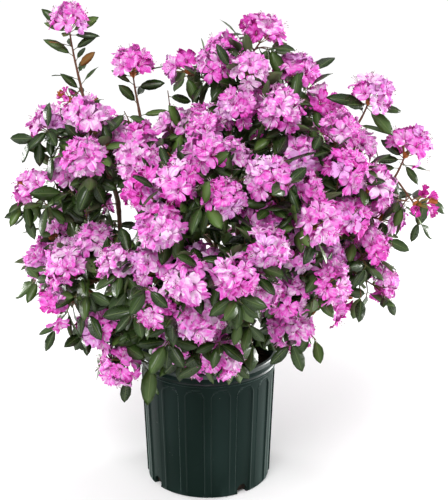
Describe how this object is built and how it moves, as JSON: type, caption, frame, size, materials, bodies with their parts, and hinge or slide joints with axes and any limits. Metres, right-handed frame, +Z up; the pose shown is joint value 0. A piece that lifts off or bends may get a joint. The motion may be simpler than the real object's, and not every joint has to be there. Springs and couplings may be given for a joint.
{
  "type": "potted azalea shrub",
  "caption": "Evergreen azalea in full pink bloom: a short trunk, forking boughs, leafy twigs and round flower clusters, growing from soil in a fluted round nursery pot.",
  "frame": {"origin": "centre of the pot's flat underside, on the surface that the pot stands on", "axes": "+Z up along the pot's axis, -Y towards the front, +X to the right seen from the front"},
  "size_m": [0.6736, 0.661, 0.7916],
  "materials": {
    "pot": "satin",
    "soil": "matte",
    "bark": "matte",
    "blossom": "matte",
    "leaf": "satin"
  },
  "bodies": {
    "root": {"pot": "pot", "soil": "soil", "trunk": "bark", "bough_left": "bark", "bough_left_upper": "bark", "bough_left_spire": "bark", "bough_left_low": "bark", "bough_left_skirt": "bark", "bough_shoulder": "bark", "bough_shoulder_spire": "bark", "bough_front": "bark", "bough_front_left": "bark", "bough_front_low": "bark", "bough_front_upper": "bark", "bough_top": "bark", "bough_top_right": "bark", "bough_front_right": "bark", "bough_front_far": "bark", "bough_right_skirt": "bark", "bough_right": "bark", "bough_right_upper": "bark", "bough_right_spire": "bark", "bough_right_far": "bark", "bough_right_low": "bark", "bough_back_right": "bark", "bough_back_right_low": "bark", "bough_back": "bark", "bough_back_low": "bark", "bough_back_skirt": "bark", "bough_back_left": "bark", "bough_back_left_low": "bark", "mass_left": "blossom", "mass_left_upper": "blossom", "mass_left_spire": "blossom", "mass_left_low": "blossom", "mass_left_skirt": "blossom", "mass_shoulder": "blossom", "mass_shoulder_spire": "blossom", "mass_front": "blossom", "mass_front_left": "blossom", "mass_front_low": "blossom", "mass_front_upper": "blossom", "mass_top": "blossom", "mass_top_right": "blossom", "mass_front_right": "blossom", "mass_front_far": "blossom", "mass_right_skirt": "blossom", "mass_right": "blossom", "mass_right_upper": "blossom", "mass_right_spire": "blossom", "mass_right_far": "blossom", "mass_right_low": "blossom", "mass_back_right": "blossom", "mass_back_right_low": "blossom", "mass_back": "blossom", "mass_back_low": "blossom", "mass_back_skirt": "blossom", "mass_back_left": "blossom", "mass_back_left_low": "blossom"}
  },
  "joints": []
}
